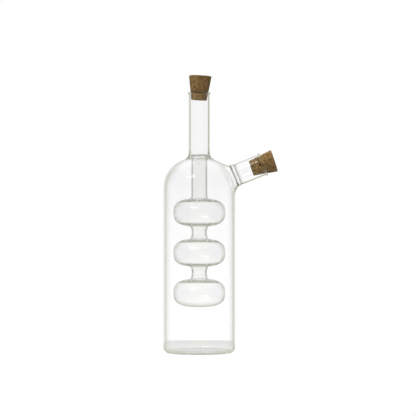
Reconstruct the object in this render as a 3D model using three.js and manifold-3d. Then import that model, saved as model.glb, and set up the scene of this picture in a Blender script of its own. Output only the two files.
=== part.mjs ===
// A lampworked glass cruet for oil and vinegar, in millimetres, +Z up.
// The oil fills an outer bottle that pours through an angled spout. The vinegar fills a flask of three bulbs,
// which hangs inside the bottle and opens through the neck. A tapered cork closes each mouth.
// The origin is the centre of the base, on the table, and the spout points along +X.

import * as THREE from "three";
import { mergeVertices } from "three/addons/utils/BufferGeometryUtils.js";
import Module from "manifold-3d";

// Outer bottle
const BODY_OD = 65;
const BODY_WALL = 2;
const BASE_THICKNESS = 3;
const BASE_CORNER_R = 6;
const SHOULDER_R = 27.7; // the arc that rounds the straight wall in to the neck
const UNDER_FLASK = 38.4; // clear height left for oil under the lowest bulb

// Inner flask: a stem, then bulbs joined by short links
const STEM_OD = 14.5;
const STEM_WALL = 1.2;
const STEM_LENGTH = 39.3; // from the top face of the flange to the first bulb's upper joint
const FLANGE_WIDTH = 2.35; // how far the flange on top of the stem stands out from it
const FLANGE_THICKNESS = 1.3;
const BULB_NAMES = ["upper_bulb", "middle_bulb", "lower_bulb"];
const LINK_NAMES = ["upper_link", "lower_link"];
const BULB_HEIGHT = 24;
const BULB_WALL = 1.2;
const BULB_SQUARENESS = 3.1; // exponent of the bulb's superellipse: 2 is an ellipse, and more is squarer
const BULB_TO_BODY = 7.3; // gap that lets the oil past the bulbs
const BULB_FILLET = 2.5;
const LINK_LENGTH = 7.4;
const LINK_WAIST = 0.35; // how far a link draws in at half its length

// Neck, and the ring that seals shoulder, stem and neck to each other
const SEAL_HEIGHT = 3.6;
const SEAL_FLARE = 3.4; // how far the ring's foot stands out past the neck
const NECK_WALL = 1.5;
const NECK_LENGTH = 55.7;
const NECK_LIP_FLARE = 0.8;

// Spout, on an axis that climbs away from the bottle's own axis
const SPOUT_ANGLE = THREE.MathUtils.degToRad(22);
const SPOUT_DROP = 1.4; // the two axes cross this far below the start of the shoulder
const SPOUT_OD = 19.8;
const SPOUT_WALL = 1.17;
const SPOUT_LENGTH = 25.2;
const SPOUT_LIP_FLARE = 1.1;
const STUB_REACH = 1.6; // the stub ends this far past the bottle's radius, along the spout's axis
const STUB_STEP = 0.5; // how far the stub stands out past the spout tube
const STUB_FLARE = 6;
const STUB_FLARE_LENGTH = 7.5;
const COLLAR_LENGTH = 2.9;
const COLLAR_BULGE = 0.3;
const LIP_HEIGHT = 2; // height over which either tube opens out to its lip

// Corks: each one jams where the straight bore of its tube ends, just under the lip
const CORK_LENGTH = 22;
const CORK_TAPER = THREE.MathUtils.degToRad(8); // slope of the side against the cork's axis
const CORK_CHAMFER = 0.6;
const NECK_CORK_DEPTH = 4.9; // from the jam down to the cork's small end
const NECK_CORK_LEAN = THREE.MathUtils.degToRad(3); // towards the spout
const SPOUT_CORK_DEPTH = 9.8;
const SPOUT_CORK_DROOP = THREE.MathUtils.degToRad(3.6); // below the spout's axis

// Clearances
const STEM_CLEARANCE = 0.3; // round the stem, where it passes the shoulder and the ring
const WELD_GAP = 0.3; // on both sides of the spout's collar
const CORK_CLEARANCE = 0.3; // round a cork, where it jams

// How finely round shapes are cut
const BODY_FACETS = 40;
const BULB_FACETS = 28;
const TUBE_FACETS = 28;
const SHOULDER_STEPS = 9;
const CORNER_STEPS = 4;
const FLARE_STEPS = 6;
const BULB_STEPS = 12;
const FILLET_STEPS = 3;
const RIM_STEPS = 4;
const MERGE_DISTANCE = 1e-4;
const QUARTER = Math.PI / 2;

// Sizes that follow from those above
const bodyRadius = BODY_OD / 2;
const stemRadius = STEM_OD / 2;
const stemBore = stemRadius - STEM_WALL;
const neckRadius = stemRadius + FLANGE_WIDTH;
const spoutRadius = SPOUT_OD / 2;
const spoutBore = spoutRadius - SPOUT_WALL;
const stubRadius = spoutRadius + STUB_STEP;
const bulbRadius = bodyRadius - BODY_WALL - BULB_TO_BODY;
const bulbHalf = BULB_HEIGHT / 2;
const bulbPitch = BULB_HEIGHT + 2 * BULB_FILLET + LINK_LENGTH;

// Heights, from the base up: the flask hangs over the oil, and the bottle is as tall as that needs
const lowestBulb = BASE_THICKNESS + UNDER_FLASK + bulbHalf;
const highestBulb = lowestBulb + (BULB_NAMES.length - 1) * bulbPitch;
const stemFoot = highestBulb + bulbHalf + BULB_FILLET;
const flangeTop = stemFoot + STEM_LENGTH;
const flangeFoot = flangeTop - FLANGE_THICKNESS;
const sealFoot = flangeFoot - SEAL_HEIGHT;
const sealFootRadius = neckRadius + SEAL_FLARE;
const shoulderCentre = bodyRadius - SHOULDER_R;
const shoulderTurn = Math.acos((sealFootRadius - shoulderCentre) / SHOULDER_R);
const shoulderStart = sealFoot - SHOULDER_R * Math.sin(shoulderTurn);

const wasm = await Module();
wasm.setup();

const glass = new THREE.MeshStandardMaterial({
  color: 0xeef3ec,
  roughness: 0.04,
  metalness: 0,
  transparent: true,
  opacity: 0.35,
});
const cork = new THREE.MeshStandardMaterial({ color: 0x765a3c, roughness: 0.9, metalness: 0 });

/** A point of an outline that is turned about an axis: its distance from the axis and its height. */
function at(radius, height) {
  return new THREE.Vector2(radius, height);
}

/** Points of an arc of an ellipse about (radius, height), both ends included. Angles start at the radius. */
function arc(radius, height, reach, rise, from, to, steps) {
  const points = [];
  for (let i = 0; i <= steps; i += 1) {
    const angle = from + ((to - from) * i) / steps;
    points.push(at(radius + reach * Math.cos(angle), height + rise * Math.sin(angle)));
  }
  return points;
}

/** Points of a bulb's superellipse, between two values of its parameter, which is 0 at the widest place. */
function superellipse(radius, half, from, to, steps) {
  const points = [];
  for (let i = 0; i <= steps; i += 1) {
    const angle = from + ((to - from) * i) / steps;
    const across = Math.abs(Math.cos(angle)) ** BULB_SQUARENESS;
    const along = Math.abs(Math.sin(angle)) ** BULB_SQUARENESS;
    const scale = (across + along) ** (-1 / BULB_SQUARENESS);
    points.push(at(radius * scale * Math.max(0, Math.cos(angle)), half * scale * Math.sin(angle)));
  }
  return points;
}

/** The parameter at which a superellipse of this radius has drawn in to the joint's radius. */
function jointAngle(radius, joint) {
  const ratio = (joint / radius) ** -BULB_SQUARENESS - 1;
  return Math.atan(ratio ** (1 / BULB_SQUARENESS));
}

/** Turns an outline of (radius, height) points about +Z. It runs outwards, up, inwards and down. */
function turned(outline, facets) {
  const geometry = new THREE.LatheGeometry(outline, facets);
  geometry.rotateX(QUARTER);
  return geometry;
}

/** An outline that ends where it starts, for a ring or a tube. */
function ring(points) {
  return [...points, points[0]];
}

function solidFrom(geometry) {
  const bare = geometry.clone();
  bare.deleteAttribute("normal");
  bare.deleteAttribute("uv");
  const merged = mergeVertices(bare, MERGE_DISTANCE);
  return new wasm.Manifold(
    new wasm.Mesh({
      numProp: 3,
      vertProperties: new Float32Array(merged.attributes.position.array),
      triVerts: new Uint32Array(merged.index.array),
    }),
  );
}

function geometryFrom(solid) {
  const mesh = solid.getMesh();
  const geometry = new THREE.BufferGeometry();
  geometry.setAttribute("position", new THREE.BufferAttribute(mesh.vertProperties, 3));
  geometry.setIndex(new THREE.BufferAttribute(mesh.triVerts, 1));
  geometry.computeVertexNormals();
  return geometry;
}

function piece(name, geometry, material) {
  const mesh = new THREE.Mesh(geometry, material);
  mesh.name = name;
  return mesh;
}

/** The spout's own frame: +Z runs out along its axis, from where that crosses the bottle's axis. */
function spoutFrame() {
  const frame = new THREE.Group();
  frame.position.z = shoulderStart - SPOUT_DROP;
  frame.rotation.y = QUARTER - SPOUT_ANGLE;
  frame.updateMatrix();
  return frame;
}

const stubEnd = bodyRadius + STUB_REACH;

/** The bottle: a turned shell with a flat rim for the seal ring, and a flared stub for the spout. */
function outerBody(frame) {
  const holeRadius = stemRadius + STEM_CLEARANCE;
  const cornerRadius = bodyRadius - BASE_CORNER_R;
  const outside = [
    at(0, 0),
    ...arc(cornerRadius, BASE_CORNER_R, BASE_CORNER_R, BASE_CORNER_R, -QUARTER, 0, CORNER_STEPS),
    ...arc(shoulderCentre, shoulderStart, SHOULDER_R, SHOULDER_R, 0, shoulderTurn, SHOULDER_STEPS),
    at(0, sealFoot),
  ];
  const innerCorner = BASE_CORNER_R - BODY_WALL;
  const innerFloor = BASE_THICKNESS + innerCorner;
  const innerShoulder = SHOULDER_R - BODY_WALL;
  const innerTurn = Math.acos((holeRadius - shoulderCentre) / innerShoulder);
  const inside = [
    at(0, BASE_THICKNESS),
    ...arc(cornerRadius, innerFloor, innerCorner, innerCorner, -QUARTER, 0, CORNER_STEPS),
    ...arc(shoulderCentre, shoulderStart, innerShoulder, innerShoulder, 0, innerTurn, SHOULDER_STEPS),
    at(holeRadius, sealFoot + BODY_WALL),
    at(0, sealFoot + BODY_WALL),
  ];
  const flareFoot = stubEnd - STUB_FLARE_LENGTH;
  const flareRadius = stubRadius + STUB_FLARE;
  const stub = [
    at(0, flareFoot),
    ...arc(flareRadius, stubEnd, -STUB_FLARE, -STUB_FLARE_LENGTH, QUARTER, 0, FLARE_STEPS),
    at(0, stubEnd),
  ];
  const bore = [at(0, 0), at(spoutBore, 0), at(spoutBore, stubEnd + WELD_GAP), at(0, stubEnd + WELD_GAP)];
  const stubShape = turned(stub, TUBE_FACETS).applyMatrix4(frame.matrix);
  const boreShape = turned(bore, TUBE_FACETS).applyMatrix4(frame.matrix);
  const skin = solidFrom(turned(outside, BODY_FACETS)).add(solidFrom(stubShape));
  const hollow = solidFrom(turned(inside, BODY_FACETS)).add(solidFrom(boreShape));
  return piece("outer_body", geometryFrom(skin.subtract(hollow)), glass);
}

/** A ring on the bottle's flat rim, round the stem and under its flange, hollowed in to the neck's width. */
function neckSealRing() {
  const hole = stemRadius + STEM_CLEARANCE;
  const hollow = arc(sealFootRadius, flangeFoot, -SEAL_FLARE, -SEAL_HEIGHT, QUARTER, 0, FLARE_STEPS);
  const outline = ring([at(hole, sealFoot), ...hollow, at(hole, flangeFoot)]);
  return piece("neck_seal_ring", turned(outline, TUBE_FACETS), glass);
}

/** A tube from height 0, whose end opens out to a rounded lip. */
function lippedTube(radius, wall, length, flare) {
  const bore = radius - wall;
  const throat = length - LIP_HEIGHT;
  const rim = length - wall / 2;
  const opening = rim - throat;
  return ring([
    at(bore, 0),
    at(radius, 0),
    ...arc(radius + flare, throat, -flare, opening, 0, QUARTER, FILLET_STEPS),
    ...arc(radius + flare - wall / 2, rim, wall / 2, wall / 2, 0, Math.PI, RIM_STEPS),
    ...arc(bore + flare, throat, -flare, opening, QUARTER, 0, FILLET_STEPS),
  ]);
}

/** The neck, standing on the stem's flange. */
function neckTube() {
  const tube = turned(lippedTube(neckRadius, NECK_WALL, NECK_LENGTH, NECK_LIP_FLARE), TUBE_FACETS);
  const mesh = piece("neck_tube", tube, glass);
  mesh.position.z = flangeTop;
  return mesh;
}

/** The stem hangs from its flange, which lies on the seal ring and opens into the bore with a round edge. */
function innerStem() {
  const edge = FLANGE_THICKNESS;
  const funnel = arc(stemBore + edge, flangeFoot, -edge, edge, QUARTER, 0, FILLET_STEPS);
  const outline = ring([
    at(stemBore, stemFoot),
    at(stemRadius, stemFoot),
    at(stemRadius, flangeFoot),
    at(neckRadius, flangeFoot),
    at(neckRadius, flangeTop),
    ...funnel,
  ]);
  return piece("inner_stem", turned(outline, TUBE_FACETS), glass);
}

/** One bulb, centred on height 0, with a filleted joint on top and, unless it is closed, one below. */
function bulb(name, closed) {
  const jointRadius = stemRadius + BULB_FILLET;
  const jointEnd = bulbHalf + BULB_FILLET;
  const skinOf = (radius, half, tube) => {
    const turn = jointAngle(radius, jointRadius);
    const belly = superellipse(radius, half, closed ? -QUARTER : -turn, turn, BULB_STEPS);
    const last = belly[belly.length - 1];
    const rise = jointEnd - last.y;
    const run = last.x - tube;
    const upper = arc(last.x, jointEnd, run, rise, -QUARTER, -Math.PI, FILLET_STEPS);
    const lower = closed ? [] : arc(last.x, -jointEnd, run, rise, Math.PI, QUARTER, FILLET_STEPS);
    return [...lower.slice(0, -1), ...belly, ...upper.slice(1)];
  };
  const outside = skinOf(bulbRadius, bulbHalf, stemRadius);
  const inside = skinOf(bulbRadius - BULB_WALL, bulbHalf - BULB_WALL, stemBore).reverse();
  const outline = closed ? [...outside, ...inside] : ring([...outside, ...inside]);
  return piece(name, turned(outline, BULB_FACETS), glass);
}

/** A short tube between two bulbs, drawn in a little at its waist. */
function link(name) {
  const half = LINK_LENGTH / 2;
  const outline = ring([
    at(stemBore, -half),
    at(stemRadius, -half),
    at(stemRadius - LINK_WAIST, 0),
    at(stemRadius, half),
    at(stemBore, half),
    at(stemBore - LINK_WAIST, 0),
  ]);
  return piece(name, turned(outline, TUBE_FACETS), glass);
}

/** The ring of glass at the spout's weld, in the spout's frame. */
function spoutCollar() {
  const foot = stubEnd + WELD_GAP;
  const middle = (stubRadius + spoutRadius) / 2 + COLLAR_BULGE;
  const outline = ring([
    at(spoutBore, foot),
    at(stubRadius, foot),
    at(middle, foot + COLLAR_LENGTH / 2),
    at(spoutRadius, foot + COLLAR_LENGTH),
    at(spoutBore, foot + COLLAR_LENGTH),
  ]);
  return piece("spout_collar", turned(outline, TUBE_FACETS), glass);
}

const spoutFoot = stubEnd + COLLAR_LENGTH + 2 * WELD_GAP;

/** The spout, in its own frame. */
function spoutTube() {
  const tube = turned(lippedTube(spoutRadius, SPOUT_WALL, SPOUT_LENGTH, SPOUT_LIP_FLARE), TUBE_FACETS);
  const mesh = piece("spout_tube", tube, glass);
  mesh.position.z = spoutFoot;
  return mesh;
}

/** A tapered cork whose height 0 is where it jams in a bore, turned about that point by its lean. */
function corkIn(name, bore, depth, lean) {
  const radiusAt = (height) => bore - CORK_CLEARANCE + height * Math.tan(CORK_TAPER);
  const top = CORK_LENGTH - depth;
  const outline = [
    at(0, -depth),
    at(radiusAt(-depth) - CORK_CHAMFER, -depth),
    at(radiusAt(-depth + CORK_CHAMFER), -depth + CORK_CHAMFER),
    at(radiusAt(top - CORK_CHAMFER), top - CORK_CHAMFER),
    at(radiusAt(top) - CORK_CHAMFER, top),
    at(0, top),
  ];
  const mesh = piece(name, turned(outline, TUBE_FACETS), cork);
  mesh.rotation.y = lean;
  return mesh;
}

const cruet = new THREE.Group();
const spout = spoutFrame();
cruet.add(outerBody(spout), neckSealRing(), neckTube(), innerStem());

BULB_NAMES.forEach((name, i) => {
  const mesh = bulb(name, i === BULB_NAMES.length - 1);
  mesh.position.z = highestBulb - i * bulbPitch;
  cruet.add(mesh);
});
LINK_NAMES.forEach((name, i) => {
  const mesh = link(name);
  mesh.position.z = highestBulb - (i + 0.5) * bulbPitch;
  cruet.add(mesh);
});

const neckCork = corkIn("neck_cork", neckRadius - NECK_WALL, NECK_CORK_DEPTH, NECK_CORK_LEAN);
neckCork.position.z = flangeTop + NECK_LENGTH - LIP_HEIGHT;
cruet.add(neckCork);

const spoutCork = corkIn("spout_cork", spoutBore, SPOUT_CORK_DEPTH, SPOUT_CORK_DROOP);
spoutCork.position.z = spoutFoot + SPOUT_LENGTH - LIP_HEIGHT;
spout.add(spoutCollar(), spoutTube(), spoutCork);
cruet.add(spout);

export default cruet;
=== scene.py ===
"""A lampworked glass cruet for oil and vinegar, with a cork in each mouth, dressed around its CAD frame.

The pieces are in millimetres until a mesh is made. Materials, stage, lamp and camera are in metres.
+Z is up, and the spout points along +X. Angles round the bottle start at the spout.
"""

import bpy
import numpy as np
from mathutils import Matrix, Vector


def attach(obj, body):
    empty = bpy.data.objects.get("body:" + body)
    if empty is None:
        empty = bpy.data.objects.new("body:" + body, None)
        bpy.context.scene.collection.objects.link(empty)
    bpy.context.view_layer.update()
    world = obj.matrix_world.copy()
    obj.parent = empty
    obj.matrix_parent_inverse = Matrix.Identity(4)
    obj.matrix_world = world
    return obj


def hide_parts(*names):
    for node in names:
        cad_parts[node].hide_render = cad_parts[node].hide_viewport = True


MM = 0.001
TURN = 2 * np.pi
QUARTER = np.pi / 2
TOUCHING = 1e-6  # points this close are one, and a radius this small is on the axis

# Outer bottle
BODY_RADIUS = 32.5
BODY_WALL = 2.0
BASE_THICKNESS = 2.0
BASE_CORNER_R = 4.5
FLOOR_RISE = 1.4  # how far the floor inside swells up in the middle
FOOT_RISE = 1.2  # how far the underside is pushed up in the middle
SHOULDER_R = 27.7
SHOULDER_CENTRE = BODY_RADIUS - SHOULDER_R
SHOULDER_START = 148.65
WALL_BREAK = 130.0  # above it the wall's rows stand closer, for the spout
DOME_WALL = 0.6  # the shoulder's wall at its top, where the glass is drawn thinner
RIM_RADIUS = 14.6  # where the shoulder turns up into the neck
SEAL_TOP = 179.6
SEAL_ROUNDNESS = 1.4  # 1 would be a straight cone between shoulder and neck, 2 a quarter of an ellipse
STEM_FILLET = 1.5

# Inner flask
STEM_RADIUS = 7.25
STEM_BORE = 6.05
STEM_FOOT = 142.2
FUNNEL_TOP = 178.6
FUNNEL_FOOT = 176.2
BULB_RADIUS = 23.6
BULB_HALF = 12.75
BULB_WALL = 0.4  # at its widest, where the glass is blown thin
BULB_CAP_WALL = 0.9  # and next to its tubes
BULB_CAP_RADII = (13.0, 20.0)  # between these the wall goes from the one to the other
BULB_SQUARENESS = 2.8  # 2 would be an ellipse
BULB_FILLET = 2.5
FILLET_SQUARENESS = 2.5  # 2 would be a quarter of an ellipse, and more keeps closer to the corner
BULB_HEIGHTS = {"upper_bulb": 126.95, "middle_bulb": 90.55, "lower_bulb": 54.15}
CLOSED_BULB = "lower_bulb"
LINK_HEIGHTS = {"upper_link": 108.75, "lower_link": 72.35}
LINK_HALF = 2.95
LINK_WAIST = 0.35
LINK_BORE = 5.85

# Neck
NECK_RADIUS = 9.6
NECK_BORE = 8.1
NECK_MOUTH = 235.7
NECK_LIP_FLARE = 0.8
LIP_HEIGHT = 2.0

# Spout, on an axis that climbs away from the bottle's own
SPOUT_ANGLE = np.radians(22)
SPOUT_CROSSING = 147.25  # height at which the two axes cross
SPOUT_RADIUS = 9.9
SPOUT_BORE = 8.73
SPOUT_LIP_FLARE = 1.1
SPOUT_FOOT = 37.6
SPOUT_MOUTH = 62.8
STUB_RADIUS = 10.4
STUB_END = 34.1
STUB_SPREAD = 16.0  # distance from the spout's axis at which the stub leaves the bottle's skin
STUB_BORE_SPREAD = 15.2
STUB_LEAVE = 1.0  # how long the stub's curves keep to the bottle's skin
STUB_ARRIVE = 1.0  # how long they run towards the collar
STUB_KINK = np.radians(25)  # how far they still lean in where they meet the collar
WINDOW_COLUMNS = 22  # half the width of the window that the stub takes up in the bottle's grid
WINDOW_ROWS = (48, 91)  # first and last row of that window
SEARCH_ROWS = slice(WINDOW_ROWS[0] - 4, WINDOW_ROWS[1] + 2)  # rows in which the stub's foot is looked for
SEARCH_END = 60.0  # how far along the spout's axis it is looked for
SEARCH_HALVINGS = 40
SKIN_RINGS = 10
FILLET_RINGS = 16
COLLAR_BULGE = 0.3
SEAMS = (34.25, 37.45)  # where the collar's two welds run round the spout
SEAM_DEPTH = 0.35
SEAM_WIDTHS = (0.6, 0.35)

# How grey the glass is by region, painted shade that sets how dim each part shows: 0 is clear, and 1 is the
# dark olive of a weld
WALL_SHADE = (  # by height
    (30.0, 0.0),
    (120.0, 0.04),
    (150.0, 0.08),
    (176.0, 0.1),
    (181.0, 0.085),
    (240.0, 0.085),
)
STEM_SHADE = 0.015
STEM_REGION = STEM_RADIUS + 0.1  # glass inside this radius takes it, up to the funnel
SPOUT_SHADE = 0.08
SPOUT_REGION = STUB_END - 1  # glass further out than this along the spout's axis takes it
# The welds' dark olive is partly their own tint and partly painted shade for the dark lines that their
# grooves show by refraction
SEAM_SHADES = (1.0, 0.7)
SEAM_REGION = (SPOUT_BORE + 0.2, STUB_RADIUS + 1)  # a weld lies between these distances from the axis
# The lips are greyed as painted shade, which also darkens the band of cork seen through them
LIP_SHADE = 0.2

# Corks
CORK_LENGTH = 22.0
CORK_TAPER = np.radians(8)
CORK_CLEARANCE = 0.3
CORK_EDGE = 0.7
CORK_FOOT_EDGE = 0.35
NECK_CORK_DEPTH = 4.9
NECK_CORK_LEAN = np.radians(3)
SPOUT_CORK_DEPTH = 9.8
SPOUT_CORK_DROOP = np.radians(3.6)
CORK_PITS = 120
PIT_WIDTHS = (0.2, 0.75)
PIT_DEPTHS = (0.3, 1.0)  # as shares of the deepest
PIT_SINK = 0.45  # how far the deepest goes in
PIT_SHAPE = (1.0, 1.0, 0.6)  # distances count for less along the axis, so a pit is longer that way
# The dark ring on each cork under its mouth's lip is painted shade: it stands in for the dark band that the
# glass rim shows over the cork
LIP_SHADOW_STRENGTHS = {"neck_cork": 1.0, "spout_cork": 0.1}  # how dark the painted shadow is that the mouth's lip throws round each cork
LIP_SHADOW_HEIGHT = 1.7
LIP_SHADOW_WIDTH = 0.9
LIP_SHADOW_SIDE = np.radians(-125)  # where round the cork it is darkest
LIP_SHADOW_FADE = 0.45  # how much of it is lost a quarter turn from there
CORK_SEEDS = {"neck_cork": 11, "spout_cork": 23}

# How finely the surfaces are cut
BODY_COLUMNS = 208
TUBE_COLUMNS = 144
CORK_COLUMNS = 180
FLOOR_STEPS = 14
CORNER_STEPS = 16
WALL_STEPS = 12
UPPER_WALL_STEPS = 10
SHOULDER_STEPS = 44
SEAL_STEPS = 24
FUNNEL_STEPS = 16
TUBE_STEPS = 8
TUBE_END_STEPS = 3
STEM_FILLET_STEPS = 8
FLARE_STEPS = 12
LIP_STEPS = 16
COLLAR_STEPS = 48
BELLY_STEPS = 96
BULB_FILLET_STEPS = 16
LINK_STEPS = 16
CORK_FOOT_STEPS = 22
CORK_SIDE_STEPS = 66
CORK_TOP_STEPS = 30
CORK_EDGE_STEPS = 5
SHARP_ANGLE = np.radians(50)  # an edge that bends more than this isn't smoothed
JOINT_GAP = 0.02  # left between two pieces of glass that are fused to each other

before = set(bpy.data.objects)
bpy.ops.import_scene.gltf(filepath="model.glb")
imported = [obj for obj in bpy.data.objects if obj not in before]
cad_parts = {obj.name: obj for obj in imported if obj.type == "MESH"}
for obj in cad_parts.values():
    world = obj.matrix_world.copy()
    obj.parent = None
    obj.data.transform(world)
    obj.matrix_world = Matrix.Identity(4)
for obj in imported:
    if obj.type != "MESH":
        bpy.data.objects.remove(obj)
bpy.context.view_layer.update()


def arc(radius, height, reach, rise, start, end, steps):
    """Points (radius + reach cos a, height + rise sin a), for a from start to end in equal steps."""
    a = np.linspace(start, end, steps + 1)
    return np.stack([radius + reach * np.cos(a), height + rise * np.sin(a)], 1)


def line(first, last, steps):
    """Points on the straight line from first to last, in equal steps, both ends included."""
    share = np.linspace(0, 1, steps + 1)[:, None]
    return np.array(first) * (1 - share) + np.array(last) * share


def joined(*runs):
    """One outline from several runs of points. A point that only repeats the one before it is dropped."""
    points = np.concatenate(runs)
    step = np.linalg.norm(np.diff(points, axis=0), axis=1)
    return points[np.concatenate([[True], step > TOUCHING])]


def grid_quads(rows, columns, loop):
    """Quads of a grid whose columns close round. With loop, its last row joins its first one as well."""
    i, j = np.meshgrid(np.arange(rows if loop else rows - 1), np.arange(columns), indexing="ij")
    low = i * columns
    high = (i + 1) % rows * columns
    right = (j + 1) % columns
    return np.stack([low + j, low + right, high + right, high + j], -1).reshape(-1, 4)


def turned_grid(outline, columns):
    """Points (r cos a, r sin a, z), with a row for each (r, z) of the outline and a column for each angle
    a of a whole turn.
    """
    a = np.arange(columns) * TURN / columns
    r = outline[:, :1]
    z = np.broadcast_to(outline[:, 1:], (len(outline), columns))
    return np.stack([r * np.cos(a), r * np.sin(a), z], -1)


def turned(outline, columns):
    """Turns an outline about +Z. An outline from axis to axis gets a fan of triangles at each end.
    Any other one is a loop, for a ring or a tube. It runs outwards, up, inwards and down.
    """
    to_axis = outline[0, 0] < TOUCHING
    rows = outline[1:-1] if to_axis else outline
    points = turned_grid(rows, columns).reshape(-1, 3)
    quads = grid_quads(len(rows), columns, not to_axis)
    if not to_axis:
        return points, quads, np.empty((0, 3), int)
    count = len(points)
    poles = [[0, 0, outline[0, 1]], [0, 0, outline[-1, 1]]]
    this = np.arange(columns)
    following = (this + 1) % columns
    last_row = count - columns
    first_fan = np.stack([np.full(columns, count), following, this], 1)
    last_fan = np.stack([np.full(columns, count + 1), last_row + this, last_row + following], 1)
    return np.concatenate([points, poles]), quads, np.concatenate([first_fan, last_fan])


def on_spout(points):
    """Takes points whose +Z is the spout's axis to the spout: x and z turn towards +X, then rise."""
    x, y, z = points.T
    sine, cosine = np.sin(SPOUT_ANGLE), np.cos(SPOUT_ANGLE)
    return np.stack([x * sine + z * cosine, y, SPOUT_CROSSING - x * cosine + z * sine], 1)


def from_spout(points):
    """How far each point lies along the spout's axis, and how far above that axis."""
    x, _, z = points.T
    sine, cosine = np.sin(SPOUT_ANGLE), np.cos(SPOUT_ANGLE)
    along = x * cosine + (z - SPOUT_CROSSING) * sine
    lift = (z - SPOUT_CROSSING) * cosine - x * sine
    return along, lift


def leaned(points, lean, height):
    """Turns points about the Y axis by lean, towards +X, then lifts them by height."""
    x, y, z = points.T
    sine, cosine = np.sin(lean), np.cos(lean)
    return np.stack([x * cosine + z * sine, y, z * cosine - x * sine + height], 1)


def make_piece(name, points, quads, fans, body, slot, material, sharp=True, nodes=None):
    """A closed mesh from points in millimetres. It rides on a body in place of these CAD nodes, by default
    the one of the same name.
    """
    mesh = bpy.data.meshes.new(name)
    mesh.from_pydata(points * MM, [], quads.tolist() + fans.tolist())
    mesh.update()
    mesh.shade_smooth()
    if sharp:
        mesh.set_sharp_from_angle(angle=SHARP_ANGLE)
    mesh.materials.append(material)
    suffix = "_glass" if slot == "glass" else "_grain"
    piece = bpy.data.objects.new(name + suffix, mesh)
    bpy.context.scene.collection.objects.link(piece)
    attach(piece, body)
    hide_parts(*(nodes or [name]))
    return piece


# Materials

WHITE = (1, 1, 1, 1)
MIX_INPUTS = (0, 6, 7)  # a Mix node's sockets for the share and for the two colours
MIX_RESULT = 2
GLASS_IOR = 1.47
GLASS_SHADES = ((0.0, WHITE), (0.1, (0.93, 0.932, 0.935, 1)), (1.0, (0.08, 0.075, 0.04, 1)))
FLASK_COLOUR = (0.997, 0.9975, 0.9985, 1)
BOTTLE_STREAKS = 0.7  # how strong the streaks are against the lumps
FLASK_STREAKS = 0.5
STREAK_SCALE = 160.0
STREAK_SHAPE = (1, 1, 0.12)  # distances count for less along z, so a streak is longer that way
LUMP_SCALE = 45.0
WAVE_HEIGHT = 0.0003
WAVE_STRENGTH = 0.03
CORK_ROUGHNESS = 0.9
CORK_IOR = 1.3
CORK_BROWNS = (
    (0.0, (0.14, 0.078, 0.022, 1)),
    (0.45, (0.21, 0.126, 0.044, 1)),
    (1.0, (0.33, 0.21, 0.088, 1)),
)
CRACK_BROWN = (0.085, 0.043, 0.015, 1)  # between two granules
# also the brown of the painted lip shadow
PIT_AND_SHADOW_BROWN = (0.035, 0.017, 0.006, 1)
GRANULE_SCALE = 520.0
GRANULE_SHARE = 0.55  # how much of the brown goes by granule
WARP_SCALE = 600.0  # of the noise that makes the granules uneven
WARP_REACH = (0.0016, 0.0016, 0.0016)
CRACK_REACH = 0.12
CRACK_STRENGTH = 0.3
BLOTCH_SCALE = 170.0
BLOTCH_SHARE = 0.5  # how much of the brown goes by blotch
GRAIN_SCALE = 1500.0
GRAIN_NOISE = (0.35, 0.7)  # between these values of the noise
GRAIN_LIGHT = (0.72, 1.2)  # the brown gets this much darker or lighter
GRAIN_HEIGHT = 0.0002
GRAIN_STRENGTH = 0.5


def new_material(name):
    """A material without nodes, and its node tree."""
    material = bpy.data.materials.new(name)
    material.use_nodes = True
    tree = material.node_tree
    tree.nodes.clear()
    return material, tree


def add_node(tree, kind, **settings):
    """A new node with these values. Each goes to the input of that name, or else to the property."""
    node = tree.nodes.new(kind)
    for key, value in settings.items():
        name = key.replace("_", " ")
        if name in node.inputs:
            node.inputs[name].default_value = value
        else:
            setattr(node, key, value)
    return node


def math_node(tree, operation, *values):
    """A Math node on these inputs, each of them a socket or a number."""
    node = tree.nodes.new("ShaderNodeMath")
    node.operation = operation
    for socket, value in zip(node.inputs, values):
        if isinstance(value, (int, float)):
            socket.default_value = value
        else:
            tree.links.new(value, socket)
    return node.outputs[0]


def range_node(tree, source, target):
    """A Map Range node that takes the range of numbers source to target."""
    node = tree.nodes.new("ShaderNodeMapRange")
    node.inputs["From Min"].default_value, node.inputs["From Max"].default_value = source
    node.inputs["To Min"].default_value, node.inputs["To Max"].default_value = target
    return node


def mix_colours(tree, share, first, second, blend="MIX"):
    """A colour between two, each of them a socket or four numbers. Share is a socket or a number."""
    node = tree.nodes.new("ShaderNodeMix")
    node.data_type = "RGBA"
    node.blend_type = blend
    for index, value in zip(MIX_INPUTS, (share, first, second)):
        socket = node.inputs[index]
        if isinstance(value, (int, float, tuple)):
            socket.default_value = value
        else:
            tree.links.new(value, socket)
    return node.outputs[MIX_RESULT]


def colour_ramp(tree, share, stops):
    """A colour that runs through these stops, each a share from 0 to 1 and the colour there."""
    ramp = tree.nodes.new("ShaderNodeValToRGB")
    elements = ramp.color_ramp.elements
    for position, _ in stops[1:-1]:
        elements.new(position)
    for element, (position, colour) in zip(elements, stops):
        element.position = position
        element.color = colour
    tree.links.new(share, ramp.inputs[0])
    return ramp.outputs[0]


def grey_ramp(tree, share, stops):
    """A grey that runs through these stops, each a share from 0 to 1 and how bright it is there."""
    return colour_ramp(tree, share, [(position, (grey, grey, grey, 1)) for position, grey in stops])


def share_of_axis(tree, socket):
    """A direction's component, from -1 to 1, as a share from 0 to 1."""
    half = math_node(tree, "MULTIPLY", socket, 0.5)
    return math_node(tree, "ADD", half, 0.5)


def bounced(tree, path, count):
    """1 where this count of a light path is one or more, and 0 elsewhere."""
    return math_node(tree, "GREATER_THAN", path.outputs[count], 0.5)


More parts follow.
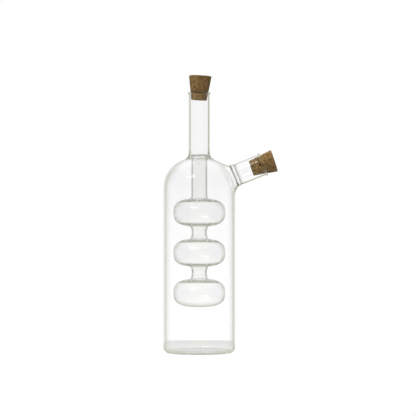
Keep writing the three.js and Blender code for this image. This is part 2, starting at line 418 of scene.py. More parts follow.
def drawn_glass_group():
    """Faint waves of glass that was drawn and worked in a flame: streaks along the vector's z, and lumps."""
    group = bpy.data.node_groups.new("drawn_glass", "ShaderNodeTree")
    group.interface.new_socket("Vector", in_out="INPUT", socket_type="NodeSocketVector")
    group.interface.new_socket("Streaks", in_out="INPUT", socket_type="NodeSocketFloat")
    group.interface.new_socket("Height", in_out="OUTPUT", socket_type="NodeSocketFloat")
    entry = group.nodes.new("NodeGroupInput")
    leave = group.nodes.new("NodeGroupOutput")
    stretch = add_node(group, "ShaderNodeMapping", Scale=STREAK_SHAPE)
    streaks = add_node(group, "ShaderNodeTexNoise", Scale=STREAK_SCALE, Detail=1.0)
    lumps = add_node(group, "ShaderNodeTexNoise", Scale=LUMP_SCALE, Detail=0.0)
    group.links.new(entry.outputs["Vector"], stretch.inputs["Vector"])
    group.links.new(stretch.outputs["Vector"], streaks.inputs["Vector"])
    group.links.new(entry.outputs["Vector"], lumps.inputs["Vector"])
    scaled = math_node(group, "MULTIPLY", streaks.outputs[0], entry.outputs["Streaks"])
    total = math_node(group, "ADD", scaled, lumps.outputs[0])
    group.links.new(total, leave.inputs["Height"])
    return group


DRAWN_GLASS = drawn_glass_group()


def glass_material(name, colour, streaks):
    """Clear glass of this colour, with faint waves in its skin that run along +Z."""
    material, tree = new_material(name)
    out = tree.nodes.new("ShaderNodeOutputMaterial")
    shader = add_node(
        tree, "ShaderNodeBsdfPrincipled", Roughness=0.0, IOR=GLASS_IOR, Transmission_Weight=1.0
    )
    shader.inputs["Base Color"].default_value = colour
    place = tree.nodes.new("ShaderNodeTexCoord")
    waves = tree.nodes.new("ShaderNodeGroup")
    waves.node_tree = DRAWN_GLASS
    waves.inputs["Streaks"].default_value = streaks
    bump = add_node(tree, "ShaderNodeBump", Strength=WAVE_STRENGTH, Distance=WAVE_HEIGHT)
    tree.links.new(place.outputs["Object"], waves.inputs["Vector"])
    tree.links.new(waves.outputs["Height"], bump.inputs["Height"])
    tree.links.new(bump.outputs["Normal"], shader.inputs["Normal"])
    tree.links.new(shader.outputs[0], out.inputs["Surface"])
    return material


FLASK_GLASS = glass_material("flask_glass", FLASK_COLOUR, FLASK_STREAKS)


def shaded_glass():
    """The bottle's glass, which goes from clear to olive with its shade attribute, the painted shade from
    glass_shade.
    """
    material = glass_material("bottle_glass", WHITE, BOTTLE_STREAKS)
    tree = material.node_tree
    shade = add_node(tree, "ShaderNodeAttribute", attribute_name="shade")
    shader = next(node for node in tree.nodes if node.bl_idname == "ShaderNodeBsdfPrincipled")
    tree.links.new(colour_ramp(tree, shade.outputs["Fac"], GLASS_SHADES), shader.inputs["Base Color"])
    return material


BOTTLE_GLASS = shaded_glass()


def cork_material():
    """Pressed cork: brown granules with darker cracks between them, pale grains, and dark pits. The painted
    lip shadow takes the pits' dark brown.
    """
    material, tree = new_material("pressed_cork")
    out = tree.nodes.new("ShaderNodeOutputMaterial")
    shader = add_node(tree, "ShaderNodeBsdfPrincipled", Roughness=CORK_ROUGHNESS, IOR=CORK_IOR)
    place = tree.nodes.new("ShaderNodeTexCoord")
    warp = add_node(tree, "ShaderNodeTexNoise", Scale=WARP_SCALE, Detail=2.0)
    shift = add_node(tree, "ShaderNodeVectorMath", operation="MULTIPLY_ADD")
    shift.inputs[1].default_value = WARP_REACH
    granules = add_node(tree, "ShaderNodeTexVoronoi", Scale=GRANULE_SCALE)
    cracks = add_node(tree, "ShaderNodeTexVoronoi", feature="DISTANCE_TO_EDGE", Scale=GRANULE_SCALE)
    grains = add_node(tree, "ShaderNodeTexNoise", Scale=GRAIN_SCALE, Detail=3.0)
    blotches = add_node(tree, "ShaderNodeTexNoise", Scale=BLOTCH_SCALE, Detail=2.0)
    dark = add_node(tree, "ShaderNodeAttribute", attribute_name="dark")
    tree.links.new(place.outputs["Object"], warp.inputs["Vector"])
    tree.links.new(warp.outputs["Color"], shift.inputs[0])
    tree.links.new(place.outputs["Object"], shift.inputs[2])
    tree.links.new(shift.outputs[0], granules.inputs["Vector"])
    tree.links.new(shift.outputs[0], cracks.inputs["Vector"])
    tree.links.new(place.outputs["Object"], grains.inputs["Vector"])
    tree.links.new(place.outputs["Object"], blotches.inputs["Vector"])
    pick = tree.nodes.new("ShaderNodeSeparateColor")
    tree.links.new(granules.outputs["Color"], pick.inputs[0])
    mixed = math_node(tree, "MULTIPLY", pick.outputs[0], GRANULE_SHARE)
    mottled = math_node(tree, "MULTIPLY", blotches.outputs[0], BLOTCH_SHARE)
    browns = colour_ramp(tree, math_node(tree, "ADD", mixed, mottled), CORK_BROWNS)
    speck = range_node(tree, GRAIN_NOISE, GRAIN_LIGHT)
    tree.links.new(grains.outputs[0], speck.inputs["Value"])
    grained = mix_colours(tree, 1.0, browns, speck.outputs[0], "MULTIPLY")
    crack = range_node(tree, (0.0, CRACK_REACH), (CRACK_STRENGTH, 0.0))
    tree.links.new(cracks.outputs["Distance"], crack.inputs["Value"])
    cracked = mix_colours(tree, crack.outputs[0], grained, CRACK_BROWN)
    # the pits and the painted lip shadow darken the cork here
    pitted_and_shaded = mix_colours(tree, dark.outputs["Fac"], cracked, PIT_AND_SHADOW_BROWN)
    tree.links.new(pitted_and_shaded, shader.inputs["Base Color"])
    relief = math_node(tree, "SUBTRACT", grains.outputs[0], crack.outputs[0])
    bump = add_node(tree, "ShaderNodeBump", Strength=GRAIN_STRENGTH, Distance=GRAIN_HEIGHT)
    tree.links.new(relief, bump.inputs["Height"])
    tree.links.new(bump.outputs["Normal"], shader.inputs["Normal"])
    tree.links.new(shader.outputs[0], out.inputs["Surface"])
    return material


CORK = cork_material()

# Outer bottle


def lip_run(radius, bore, foot, mouth, flare):
    """A tube's outside from height foot up, over a round lip, and its bore down again.
    Both skins open out by flare towards the lip, as half a cosine wave.
    """
    half = (radius - bore) / 2
    throat, rim = mouth - LIP_HEIGHT, mouth - half
    rise = np.linspace(0, 1, FLARE_STEPS + 1)
    opened = flare * (1 - np.cos(np.pi * rise)) / 2
    height = throat + (rim - throat) * rise
    return joined(
        line((radius, foot), (radius, throat), TUBE_STEPS),
        np.stack([radius + opened, height], 1),
        arc(radius + flare - half, rim, half, half, 0, np.pi, LIP_STEPS),
        np.stack([bore + opened, height], 1)[::-1],
        line((bore, throat), (bore, foot), TUBE_STEPS),
    )


def bottle_skin(radius, floor, rise, corner, reach, dome_rise, edge):
    """One skin of the bottle, from the middle of its floor up to where its shoulder has drawn in to edge.
    The floor swells by rise, the corner is a quarter turn, and the shoulder is part of an ellipse.
    """
    flat = BODY_RADIUS - BASE_CORNER_R
    turn = np.arccos((edge - SHOULDER_CENTRE) / reach)
    return joined(
        arc(0, floor, flat, rise, QUARTER, 0, FLOOR_STEPS),
        arc(flat, floor + corner, corner, corner, -QUARTER, 0, CORNER_STEPS),
        line((radius, floor + corner), (radius, WALL_BREAK), WALL_STEPS),
        line((radius, WALL_BREAK), (radius, SHOULDER_START), UPPER_WALL_STEPS),
        arc(SHOULDER_CENTRE, SHOULDER_START, reach, dome_rise, 0, turn, SHOULDER_STEPS),
    )


def crown_outline(shoulder, underside):
    """From the shoulder's end up the neck, over its lip, down its bore and the stem's, and up the stem's
    outside to the shoulder's underside. The seal is a superellipse turned inside out: it hollows in from
    shoulder to neck. The funnel under the neck goes over to the stem's bore as half a cosine wave.
    """
    a = np.linspace(QUARTER, 0, SEAL_STEPS + 1)
    run, climb = shoulder[0] - NECK_RADIUS, SEAL_TOP - shoulder[1]
    power = 2 / SEAL_ROUNDNESS
    seal = np.stack([shoulder[0] - run * np.cos(a) ** power, SEAL_TOP - climb * np.sin(a) ** power], 1)
    fall = np.linspace(0, 1, FUNNEL_STEPS + 1)
    wave = (1 + np.cos(np.pi * fall)) / 2
    funnel = np.stack(
        [STEM_BORE + (NECK_BORE - STEM_BORE) * wave, FUNNEL_TOP + (FUNNEL_FOOT - FUNNEL_TOP) * fall], 1
    )
    foot = STEM_FOOT + JOINT_GAP
    neck = lip_run(NECK_RADIUS, NECK_BORE, SEAL_TOP, NECK_MOUTH, NECK_LIP_FLARE)
    fillet_foot = underside[1] - STEM_FILLET
    fillet_middle = STEM_RADIUS + STEM_FILLET
    return joined(
        seal,
        neck[:-1],
        funnel,
        line((STEM_BORE, FUNNEL_FOOT), (STEM_BORE, foot), TUBE_STEPS),
        line((STEM_BORE, foot), (STEM_RADIUS, foot), TUBE_END_STEPS),
        line((STEM_RADIUS, foot), (STEM_RADIUS, fillet_foot), TUBE_STEPS),
        arc(fillet_middle, fillet_foot, -STEM_FILLET, STEM_FILLET, 0, QUARTER, STEM_FILLET_STEPS),
    )


def spout_ring(turns, radius, along):
    """Points at these turns about the spout's axis, where 0 is +Y and a quarter is up."""
    height = np.broadcast_to(along, turns.shape)
    return on_spout(np.stack([-radius * np.sin(turns), radius * np.cos(turns), height], 1))


def window_loop(first, last):
    """Rows and columns of the window's edge from its lower corner, counter-clockwise seen from outside."""
    across = np.arange(-WINDOW_COLUMNS, WINDOW_COLUMNS + 1)
    up = np.arange(first, last + 1)
    ends = np.ones(len(up) - 1, int) * WINDOW_COLUMNS
    lower, upper = np.full(len(across), first), np.full(len(across) - 1, last)
    rows = np.concatenate([lower, up[1:], upper, up[-2:0:-1]])
    columns = np.concatenate([across, ends, across[-2::-1], -ends[1:]])
    return rows, columns


def stub_rings(skin, rows, columns, turns, spread, radius):
    """Rings that carry the window's edge in to the stub's end, the last one a circle of this radius.
    The first ones stay on the skin and slide evenly, in row and angle, to where the skin meets a cylinder of
    radius spread about the spout's axis. The others follow cubic curves, which leave along the skin and
    still lean in by the kink where they arrive.
    """
    index = np.arange(len(skin))
    wall_radius, wall_height = skin[SEARCH_ROWS].T
    inner, outer = np.zeros(len(turns)), np.full(len(turns), SEARCH_END)
    for _ in range(SEARCH_HALVINGS):
        middle = (inner + outer) / 2
        x, y, z = spout_ring(turns, spread, middle).T
        beyond = np.hypot(x, y) > np.interp(z, wall_height, wall_radius)
        inner, outer = np.where(beyond, inner, middle), np.where(beyond, middle, outer)
    contact = spout_ring(turns, spread, outer)
    contact_row = np.interp(contact[:, 2], wall_height, index[SEARCH_ROWS])
    contact_angle = np.arctan2(contact[:, 1], contact[:, 0])

    share = np.linspace(0, 1, SKIN_RINGS + 1)[1:, None]
    row = rows * (1 - share) + contact_row * share
    angle = columns * TURN / BODY_COLUMNS * (1 - share) + contact_angle * share
    r = np.interp(row, index, skin[:, 0])
    on_skin = np.stack([r * np.cos(angle), r * np.sin(angle), np.interp(row, index, skin[:, 1])], -1)

    slope = np.gradient(skin, axis=0)
    out = np.interp(contact_row, index, slope[:, 1])
    up = -np.interp(contact_row, index, slope[:, 0])
    normal = np.stack([out * np.cos(contact_angle), out * np.sin(contact_angle), up], 1)
    normal /= np.linalg.norm(normal, axis=1)[:, None]
    towards = spout_ring(turns, 0.0, 0.0) - spout_ring(turns, 1.0, 0.0)
    leave = towards - (towards * normal).sum(1)[:, None] * normal
    leave /= np.linalg.norm(leave, axis=1)[:, None]
    outward = spout_ring(turns, 0.0, 1.0) - spout_ring(turns, 0.0, 0.0)
    arrive = outward * np.cos(STUB_KINK) + towards * np.sin(STUB_KINK)
    end = spout_ring(turns, radius, STUB_END)
    reach = np.linalg.norm(end - contact, axis=1)[:, None]
    t = np.linspace(0, 1, FILLET_RINGS + 1)[1:, None, None]
    fillet = (
        (2 * t**3 - 3 * t**2 + 1) * contact
        + (t**3 - 2 * t**2 + t) * leave * reach * STUB_LEAVE
        + (3 * t**2 - 2 * t**3) * end
        + (t**3 - t**2) * arrive * reach * STUB_ARRIVE
    )
    return np.concatenate([on_skin, fillet])


def weld_bells(along):
    """A bell exp(-(d / w)^2) at each weld, with d the distance along the spout and w its width."""
    return np.exp(-(((along[:, None] - SEAMS) / SEAM_WIDTHS) ** 2))


def spout_rings(turns):
    """Rings of the collar and the spout, from the stub's outer edge over the lip to its inner one.
    The collar goes from the stub's radius to the spout's, bulges as half a sine, and has a groove at each
    weld.
    """
    share = np.linspace(0, 1, COLLAR_STEPS + 1)[1:]
    along = STUB_END + (SPOUT_FOOT - STUB_END) * share
    groove = weld_bells(along).sum(1)
    swell = STUB_RADIUS + (SPOUT_RADIUS - STUB_RADIUS) * share + COLLAR_BULGE * np.sin(share * np.pi)
    collar = np.stack([swell - SEAM_DEPTH * groove, along], 1)
    tube = lip_run(SPOUT_RADIUS, SPOUT_BORE, SPOUT_FOOT, SPOUT_MOUTH, SPOUT_LIP_FLARE)
    radius, along = np.concatenate([collar, tube[1:]]).T
    around = len(turns)
    rings = spout_ring(np.tile(turns, len(radius)), np.repeat(radius, around), np.repeat(along, around))
    return rings.reshape(-1, around, 3)


def glass_shade(points):
    """How grey the glass is at each point, as painted shade: by height on the bottle and the neck, with
    shades of their own for the stem, the spout and the lips, and dark at the two welds, partly their own
    tint.
    """
    x, y, z = points.T
    heights, shades = np.array(WALL_SHADE).T
    shade = np.interp(z, heights, shades)
    shade = np.where((np.hypot(x, y) < STEM_REGION) & (z < FUNNEL_FOOT), STEM_SHADE, shade)
    along, lift = from_spout(points)
    off_axis = np.hypot(y, lift)
    shade = np.where((off_axis < STUB_SPREAD) & (along > SPOUT_REGION), SPOUT_SHADE, shade)
    at_lip = (z > NECK_MOUTH - LIP_HEIGHT / 2) | (along > SPOUT_MOUTH - LIP_HEIGHT / 2)
    shade = np.where(at_lip, LIP_SHADE, shade)
    weld = (weld_bells(along) * SEAM_SHADES).max(1)
    on_collar = (off_axis > SEAM_REGION[0]) & (off_axis < SEAM_REGION[1])
    return np.where(on_collar, np.maximum(shade, weld), shade)


def bottle_mesh():
    """The turned bottle with its neck and stem, a window cut in both its skins, and in that window the stub,
    the collar and the spout. Both skins have the same rows, so that row i from one end of the outline faces
    row i from its other end.
    """
    outside = bottle_skin(BODY_RADIUS, 0, FOOT_RISE, BASE_CORNER_R, SHOULDER_R, SHOULDER_R, RIM_RADIUS)
    inside = bottle_skin(
        BODY_RADIUS - BODY_WALL,
        BASE_THICKNESS,
        FLOOR_RISE,
        BASE_CORNER_R - BODY_WALL,
        SHOULDER_R - BODY_WALL,
        SHOULDER_R - DOME_WALL,
        STEM_RADIUS + STEM_FILLET,
    )
    outline = joined(outside, crown_outline(outside[-1], inside[-1]), inside[::-1])
    points, quads, fans = turned(outline, BODY_COLUMNS)
    first, last = WINDOW_ROWS
    last_row = len(outline) - 2
    row, column = np.divmod(np.arange(len(quads)), BODY_COLUMNS)
    column = (column + BODY_COLUMNS // 2) % BODY_COLUMNS - BODY_COLUMNS // 2
    in_columns = (column >= -WINDOW_COLUMNS) & (column < WINDOW_COLUMNS)
    mirrored = last_row - 1 - row
    in_rows = ((row >= first - 1) & (row < last - 1)) | ((mirrored >= first) & (mirrored < last))
    quads = quads[~(in_columns & in_rows)]

    rows, columns = window_loop(first, last)
    outer_edge = (rows - 1) * BODY_COLUMNS + columns % BODY_COLUMNS
    inner_edge = (last_row - rows) * BODY_COLUMNS + columns % BODY_COLUMNS
    _, lift = from_spout(points[outer_edge])
    turns = np.arctan2(lift, points[outer_edge, 1])
    outer_rings = stub_rings(outside, rows, columns, turns, STUB_SPREAD, STUB_RADIUS)
    inner_rings = stub_rings(inside, rows, columns, turns, STUB_BORE_SPREAD, SPOUT_BORE)
    rings = np.concatenate([outer_rings, spout_rings(turns), inner_rings[::-1]])

    count, around = len(points), len(turns)
    strip = np.concatenate([outer_edge, count + np.arange(rings.size // 3), inner_edge]).reshape(-1, around)
    low, high = strip[:-1], strip[1:]
    patch = np.stack([low, np.roll(low, -1, 1), np.roll(high, -1, 1), high], -1).reshape(-1, 4)
    points = np.concatenate([points, rings.reshape(-1, 3)])
    quads = np.concatenate([quads, patch])
    used, places = np.unique(np.concatenate([quads.ravel(), fans.ravel()]), return_inverse=True)
    return points[used], places[: quads.size].reshape(-1, 4), places[quads.size :].reshape(-1, 3)


bottle_points, bottle_quads, bottle_fans = bottle_mesh()
bottle = make_piece(
    "bottle",
    bottle_points,
    bottle_quads,
    bottle_fans,
    "vessel",
    "glass",
    BOTTLE_GLASS,
    nodes=("outer_body", "neck_seal_ring", "neck_tube", "inner_stem", "spout_collar", "spout_tube"),
)
shade_values = bottle.data.attributes.new("shade", "FLOAT", "POINT")
shade_values.data.foreach_set("value", glass_shade(bottle_points).astype(np.float32))

# Inner flask


def bulb_belly(closed):
    """A bulb's outside about its own middle, from its lower end up, without the hollow corners at its tubes.
    It is a superellipse (R s cos t, H s sin t), where s makes s^p (|cos t|^p + |sin t|^p) equal to 1.
    """
    joint = STEM_RADIUS + BULB_FILLET
    turn = np.arctan(((joint / BULB_RADIUS) ** -BULB_SQUARENESS - 1) ** (1 / BULB_SQUARENESS))
    t = np.linspace(-QUARTER if closed else -turn, turn, BELLY_STEPS + 1)
    across = np.maximum(np.cos(t), 0)
    scale = (across**BULB_SQUARENESS + np.abs(np.sin(t)) ** BULB_SQUARENESS) ** (-1 / BULB_SQUARENESS)
    return np.stack([BULB_RADIUS * scale * across, BULB_HALF * scale * np.sin(t)], 1)


def bulb_lining(belly, closed):
    """The belly's inside: each point moves in along the skin's normal by the wall there, which goes over
    from thin to thick as s^2 (3 - 2 s). The closed bulb's lower half is thin all over.
    """
    slope = np.gradient(belly, axis=0)
    normal = np.stack([slope[:, 1], -slope[:, 0]], 1) / np.linalg.norm(slope, axis=1)[:, None]
    near, far = BULB_CAP_RADII
    s = np.clip((far - belly[:, 0]) / (far - near), 0, 1)
    s = np.where(closed & (belly[:, 1] < 0), 0, s)
    wall = BULB_WALL + (BULB_CAP_WALL - BULB_WALL) * s**2 * (3 - 2 * s)
    lining = belly - normal * wall[:, None]
    return np.maximum(lining, (0, -BULB_HALF))


def with_tubes(belly, tube, closed):
    """A bulb's skin with the hollow corners that carry it on into tubes of this radius. Each corner is a
    quarter of a superellipse, turned inside out.
    """
    run, rise = belly[-1, 0] - tube, BULB_HALF + BULB_FILLET - JOINT_GAP - belly[-1, 1]
    a = np.linspace(0, QUARTER, BULB_FILLET_STEPS + 1)
    power = 2 / FILLET_SQUARENESS
    upper = belly[-1] + np.stack([-run * np.sin(a) ** power, rise * (1 - np.cos(a) ** power)], 1)
    lower = upper[::-1] * (1, -1)
    return joined(belly, upper) if closed else joined(lower, belly, upper)


def bulb_outline(closed):
    """A bulb's outer skin up and its inner skin down, about its own middle."""
    belly = bulb_belly(closed)
    outer = with_tubes(belly, STEM_RADIUS, closed)
    inner = with_tubes(bulb_lining(belly, closed), STEM_BORE, closed)
    return np.concatenate([outer, inner[::-1]])


def link_outline():
    """A short tube about its own middle, drawn in towards its waist as the cosine of its height."""
    height = np.linspace(-LINK_HALF + JOINT_GAP, LINK_HALF - JOINT_GAP, LINK_STEPS + 1)
    drawn = LINK_WAIST * np.cos(height / LINK_HALF * QUARTER)
    outer = np.stack([STEM_RADIUS - drawn, height], 1)
    inner = np.stack([LINK_BORE - drawn, height], 1)
    return np.concatenate([outer, inner[::-1]])


for bulb_name, bulb_height in BULB_HEIGHTS.items():
    raised = bulb_outline(bulb_name == CLOSED_BULB) + (0, bulb_height)
    make_piece(bulb_name, *turned(raised, TUBE_COLUMNS), "vessel", "glass", FLASK_GLASS)
for link_name, link_height in LINK_HEIGHTS.items():
    raised = link_outline() + (0, link_height)
    make_piece(link_name, *turned(raised, TUBE_COLUMNS), "vessel", "glass", FLASK_GLASS)

# Corks


def cork_outline(bore, depth):
    """A tapered cork with rounded edges, where height 0 is the throat that it jams in."""
    top = CORK_LENGTH - depth
    throat = bore - CORK_CLEARANCE
    small = throat - depth * np.tan(CORK_TAPER)
    large = throat + top * np.tan(CORK_TAPER)
    foot_edge, top_edge = CORK_FOOT_EDGE, CORK_EDGE
    return joined(
        line((0, -depth), (small - foot_edge, -depth), CORK_FOOT_STEPS),
        arc(small - foot_edge, foot_edge - depth, foot_edge, foot_edge, -QUARTER, 0, CORK_EDGE_STEPS),
        line((small, foot_edge - depth), (large, top - top_edge), CORK_SIDE_STEPS),
        arc(large - top_edge, top - top_edge, top_edge, top_edge, 0, QUARTER, CORK_EDGE_STEPS),
        line((large - top_edge, top), (0, top), CORK_TOP_STEPS),
    )


def cork_grain(points, seed):
    """How deep each point lies in a pit, from 0 to 1. A pit is a bell about a random point of the skin:
    exp(-(d / w)^4), with d the distance and w its width.
    """
    draw = np.random.default_rng(seed)
    centres = points[draw.integers(0, len(points), CORK_PITS)]
    width = draw.uniform(*PIT_WIDTHS, CORK_PITS)
    deep = draw.uniform(*PIT_DEPTHS, CORK_PITS)
    near, pit_at = points * PIT_SHAPE, centres * PIT_SHAPE
    square = (near**2).sum(1)[:, None] + (pit_at**2).sum(1) - 2 * near @ pit_at.T
    return (deep * np.exp(-((np.maximum(square, 0) / width**2) ** 2))).max(1)


def painted_lip_shadow(points, strength):
    """How dark the painted shade is under the lip on a cork, a ring that stands in for the rim's dark band:
    a bell exp(-(d / w)^4) of the height, which fades round the cork as a cosine.
    """
    x, y, z = points.T
    fade = 1 - LIP_SHADOW_FADE * (1 - np.cos(np.arctan2(y, x) - LIP_SHADOW_SIDE))
    return strength * np.maximum(fade, 0) * np.exp(-(((z - LIP_SHADOW_HEIGHT) / LIP_SHADOW_WIDTH) ** 4))


def cork_mesh(name, bore, depth):
    """A cork about its own axis, its pits sunk in towards its middle, and how dark each point of it is from
    its pits and the painted lip shadow.
    """
    points, quads, fans = turned(cork_outline(bore, depth), CORK_COLUMNS)
    pit = cork_grain(points, CORK_SEEDS[name])
    middle = np.array([0, 0, CORK_LENGTH / 2 - depth])
    inward = middle - points
    inward /= np.linalg.norm(inward, axis=1)[:, None]
    # the pits and the painted lip shadow share the one dark attribute
    dark = np.maximum(pit, painted_lip_shadow(points, LIP_SHADOW_STRENGTHS[name]))
    return points + inward * pit[:, None] * PIT_SINK, quads, fans, dark


def make_cork(name, body, bore, depth, place):
    """A cork that rides on this body. Place is a function that takes its points to its mouth."""
    points, quads, fans, dark = cork_mesh(name, bore, depth)
    piece = make_piece(name, place(points), quads, fans, body, "cork", CORK, sharp=False)
    dark_values = piece.data.attributes.new("dark", "FLOAT", "POINT")
    dark_values.data.foreach_set("value", dark.astype(np.float32))


neck_throat = NECK_MOUTH - LIP_HEIGHT
spout_throat = SPOUT_MOUTH - LIP_HEIGHT
make_cork(
    "neck_cork",
    "neck_stopper",
    NECK_BORE,
    NECK_CORK_DEPTH,
    lambda points: leaned(points, NECK_CORK_LEAN, neck_throat),
)
make_cork(
    "spout_cork",
    "spout_stopper",
    SPOUT_BORE,
    SPOUT_CORK_DEPTH,
    lambda points: on_spout(leaned(points, SPOUT_CORK_DROOP, spout_throat)),
)

# Stage, light and camera

TABLE_RADIUS = 0.16
TABLE_CORNERS = 128
TABLE_DROP = 0.0001  # how far it lies under the base
TABLE_WHITE = 1.02  # the table, seen past the glass
TABLE_MATT = (0.95, 0.95, 0.95, 1)
TABLE_MATT_SHARE = 0.12  # how much of it takes light and shadows
TABLE_FACING = (1.15, 1.15, 1.15, 1)  # the table, seen through the glass from above
TABLE_GRAZING = (0.86, 0.86, 0.85, 1)  # and along its top, as painted shade
TABLE_GLANCE = ((0.0, 0.0), (0.84, 0.0), (0.91, 1.0), (1.0, 1.0))  # from the one to the other
TABLE_SHADED = (0.045, 0.07)  # between these radii the bottle's shade on it fades out
TABLE_MIRRORED = (0.62, 0.62, 0.54, 1)  # the table, mirrored in the glass
TABLE_FADE = (0.09, 0.16)  # between these radii what is mirrored goes over to the room
BACKDROP = 1.17  # what the glass lets through
GLASS_GAIN = (2.6, 2.6, 2.6, 1)  # how much more sky a cork in glass gets, for what the glass keeps back
# Heights go from straight down, at 0, to straight up, at 1. Sides go from far left to far right, and
# depths from the camera's side to the far one. The second number is the brightness there.
SKY_HEIGHTS = ((0.0, 0.4), (0.5, 0.65), (0.75, 0.95), (1.0, 1.1))
SKY_SIDES = ((0.0, 1.3), (0.5, 1.05), (1.0, 0.45))
ROOM_HEIGHTS = (
    (0.0, 1.4),
    (0.15, 1.4),
    (0.22, 0.6),
    (0.42, 0.6),
    (0.46, 1.0),
    (0.54, 1.0),
    (0.6, 0.9),
    (0.8, 0.9),
    (0.87, 1.2),
    (1.0, 1.2),
)
ROOM_SIDES = (
    (0.0, 0.5),
    (0.08, 0.5),
    (0.115, 0.35),
    (0.16, 0.4),
    (0.23, 0.72),
    (0.34, 0.86),
    (0.5, 0.8),
    (0.76, 0.7),
    (0.83, 0.4),
    (0.885, 0.35),
    (0.92, 0.55),
    (1.0, 0.55),
)
ROOM_DEPTHS = ((0.0, 0.3), (0.4, 0.3), (0.6, 1.0), (1.0, 1.0))
# The tint of what the glass mirrors, from where that is dark, at 0, to where it is white, at 1
ROOM_TINTS = (
    (0.0, (1, 0.965, 0.5, 1)),
    (0.42, (1, 0.98, 0.62, 1)),
    (0.62, (1, 1, 0.96, 1)),
    (1.0, WHITE),
)
# How much of that tint there is, by side
TINTED_SIDES = ((0.0, 0.0), (0.09, 0.0), (0.12, 1.0), (0.88, 1.0), (0.91, 0.0), (1.0, 0.0))
# Bright windows on the camera's side that the glass mirrors: x and z of their middle, and half their size
SKIN_GLINTS = ((-0.4, 0.65, 0.2, 0.03), (-0.29, 0.72, 0.06, 0.08))  # in the outermost skin
FLASK_GLINTS = ((-0.37, 0.5, 0.22, 0.1),)  # in the flask, behind the bottle's two skins
GLINT = (6.0, 6.0, 5.8, 1)
SKIN_DEPTH = 2.5  # a ray that is mirrored in the outermost skin has a depth below this
FLASK_DEPTH = 4.5  # and one that is mirrored in the flask has one above this
CAMERA_AT = Vector((0.0079, -1.7, 0.131))
CAMERA_LENS = 162.3
CAMERA_SENSOR = 36.0
LAMP_TARGET = Vector((0, 0, 0.13))
LAMP_AT = Vector((-0.3, -0.2, 1.25))
LAMP_SIZE = 1.0
LAMP_POWER = 11.0
GLASS_BOUNCES = 200  # enough for light that runs along inside a thin wall


def make_table():
    """A round table top under the bottle: white to the camera, and through the glass bright, with painted
    shade that greys it under the bottle and where it is seen at a low angle. Its mirror image in the glass
    fades out to its rim.
    """
    material, tree = new_material("pale_table")
    out = tree.nodes.new("ShaderNodeOutputMaterial")
    path = tree.nodes.new("ShaderNodeLightPath")
    white = add_node(tree, "ShaderNodeEmission", Strength=TABLE_WHITE)
    matt = add_node(tree, "ShaderNodeBsdfDiffuse", Color=TABLE_MATT)
    grey = tree.nodes.new("ShaderNodeEmission")
    shade = add_node(tree, "ShaderNodeMixShader", Fac=TABLE_MATT_SHARE)
    seen = tree.nodes.new("ShaderNodeMixShader")
    tree.links.new(white.outputs[0], shade.inputs[1])
    tree.links.new(matt.outputs[0], shade.inputs[2])
    mirrored = bounced(tree, path, "Glossy Depth")
    place = tree.nodes.new("ShaderNodeTexCoord")
    reach = add_node(tree, "ShaderNodeVectorMath", operation="LENGTH")
    tree.links.new(place.outputs["Object"], reach.inputs[0])
    under = range_node(tree, TABLE_SHADED, (1.0, 0.0))
    tree.links.new(reach.outputs["Value"], under.inputs["Value"])
    facing = tree.nodes.new("ShaderNodeLayerWeight")
    glance = grey_ramp(tree, facing.outputs["Facing"], TABLE_GLANCE)
    shaded = math_node(tree, "MAXIMUM", glance, under.outputs[0])
    sheen = mix_colours(tree, shaded, TABLE_FACING, TABLE_GRAZING)
    tree.links.new(mix_colours(tree, mirrored, sheen, TABLE_MIRRORED), grey.inputs["Color"])
    through = math_node(tree, "MAXIMUM", path.outputs["Is Transmission Ray"], mirrored)
    tree.links.new(through, seen.inputs[0])
    tree.links.new(shade.outputs[0], seen.inputs[1])
    tree.links.new(grey.outputs[0], seen.inputs[2])
    fade = range_node(tree, TABLE_FADE, (0.0, 1.0))
    tree.links.new(reach.outputs["Value"], fade.inputs["Value"])
    clear = tree.nodes.new("ShaderNodeBsdfTransparent")
    faded = tree.nodes.new("ShaderNodeMixShader")
    tree.links.new(math_node(tree, "MULTIPLY", fade.outputs[0], mirrored), faded.inputs[0])
    tree.links.new(seen.outputs[0], faded.inputs[1])
    tree.links.new(clear.outputs[0], faded.inputs[2])
    tree.links.new(faded.outputs[0], out.inputs["Surface"])
    rim = turned_grid(np.array([[TABLE_RADIUS, -TABLE_DROP]]), TABLE_CORNERS)[0]
    mesh = bpy.data.meshes.new("table_top")
    mesh.from_pydata(rim, [], [list(range(TABLE_CORNERS))])
    mesh.materials.append(material)
    table = bpy.data.objects.new("table_top", mesh)
    bpy.context.scene.collection.objects.link(table)


def window_mask(tree, split, x, z, half_width, half_height):
    """1 for a direction in this window on the camera's side, and 0 elsewhere."""
    across = math_node(tree, "COMPARE", split.outputs["X"], x, half_width)
    up = math_node(tree, "COMPARE", split.outputs["Z"], z, half_height)
    near = math_node(tree, "LESS_THAN", split.outputs["Y"], 0.0)
    return math_node(tree, "MULTIPLY", math_node(tree, "MULTIPLY", across, up), near)


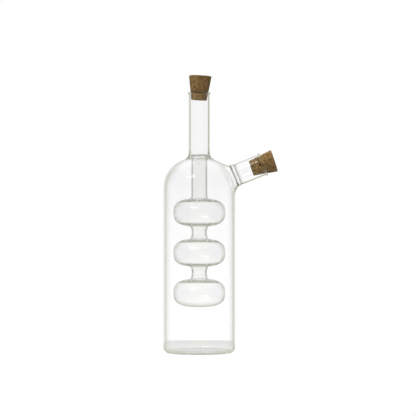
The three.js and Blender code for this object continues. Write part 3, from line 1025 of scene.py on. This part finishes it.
def make_world():
    """A studio with a white backdrop. What the glass lets through is that white, what it mirrors is the room
    round the set, by height, side and depth, with its windows, and what lights the corks is a soft sky.
    """
    world = bpy.data.worlds.new("studio")
    bpy.context.scene.world = world
    world.use_nodes = True
    tree = world.node_tree
    tree.nodes.clear()
    out = tree.nodes.new("ShaderNodeOutputWorld")
    path = tree.nodes.new("ShaderNodeLightPath")
    place = tree.nodes.new("ShaderNodeTexCoord")
    split = tree.nodes.new("ShaderNodeSeparateXYZ")
    tree.links.new(place.outputs["Generated"], split.inputs[0])
    side, depth, height = (share_of_axis(tree, split.outputs[axis]) for axis in "XYZ")
    heights = grey_ramp(tree, height, ROOM_HEIGHTS)
    sides = grey_ramp(tree, side, ROOM_SIDES)
    walls = mix_colours(tree, 1.0, sides, grey_ramp(tree, depth, ROOM_DEPTHS), "MULTIPLY")
    greys = mix_colours(tree, 1.0, heights, walls, "MULTIPLY")
    tinted = grey_ramp(tree, side, TINTED_SIDES)
    room = mix_colours(tree, tinted, greys, colour_ramp(tree, greys, ROOM_TINTS), "MULTIPLY")
    on_skin = math_node(tree, "LESS_THAN", path.outputs["Ray Depth"], SKIN_DEPTH)
    in_flask = math_node(tree, "GREATER_THAN", path.outputs["Ray Depth"], FLASK_DEPTH)
    for glints, where in ((SKIN_GLINTS, on_skin), (FLASK_GLINTS, in_flask)):
        for glint in glints:
            mask = math_node(tree, "MULTIPLY", window_mask(tree, split, *glint), where)
            room = mix_colours(tree, mask, room, GLINT)
    through = (BACKDROP, BACKDROP, BACKDROP, 1)
    in_glass = mix_colours(tree, bounced(tree, path, "Glossy Depth"), through, room)
    sky_sides = grey_ramp(tree, side, SKY_SIDES)
    sky = mix_colours(tree, 1.0, grey_ramp(tree, height, SKY_HEIGHTS), sky_sides, "MULTIPLY")
    gained = mix_colours(tree, bounced(tree, path, "Transmission Depth"), WHITE, GLASS_GAIN)
    scattered = mix_colours(tree, 1.0, sky, gained, "MULTIPLY")
    lit = mix_colours(tree, bounced(tree, path, "Diffuse Depth"), in_glass, scattered)
    studio = add_node(tree, "ShaderNodeBackground", Strength=1.0)
    tree.links.new(lit, studio.inputs[0])
    plain = add_node(tree, "ShaderNodeBackground", Color=WHITE, Strength=1.0)
    seen = tree.nodes.new("ShaderNodeMixShader")
    tree.links.new(path.outputs["Is Camera Ray"], seen.inputs[0])
    tree.links.new(studio.outputs[0], seen.inputs[1])
    tree.links.new(plain.outputs[0], seen.inputs[2])
    tree.links.new(seen.outputs[0], out.inputs["Surface"])


def make_lamp():
    """A large soft lamp overhead. It lights the corks and the table, and the glass shows nothing of it."""
    light = bpy.data.lights.new("overhead", "AREA")
    light.size = LAMP_SIZE
    light.energy = LAMP_POWER
    lamp = bpy.data.objects.new("overhead", light)
    lamp.location = LAMP_AT
    lamp.rotation_euler = (LAMP_TARGET - LAMP_AT).to_track_quat("-Z", "Y").to_euler()
    lamp.visible_glossy = False
    lamp.visible_transmission = False
    bpy.context.scene.collection.objects.link(lamp)


def make_camera():
    """A long lens that looks level along +Y, a little above the middle of the cruet."""
    camera = bpy.data.cameras.new("camera")
    camera.lens = CAMERA_LENS
    camera.sensor_width = CAMERA_SENSOR
    eye = bpy.data.objects.new("camera", camera)
    eye.location = CAMERA_AT
    eye.rotation_euler = (QUARTER, 0, 0)
    bpy.context.scene.collection.objects.link(eye)
    bpy.context.scene.camera = eye


make_table()
make_world()
make_lamp()
make_camera()

scene = bpy.context.scene
scene.view_settings.view_transform = "Standard"
scene.cycles.max_bounces = GLASS_BOUNCES
scene.cycles.transmission_bounces = GLASS_BOUNCES
scene.cycles.glossy_bounces = GLASS_BOUNCES
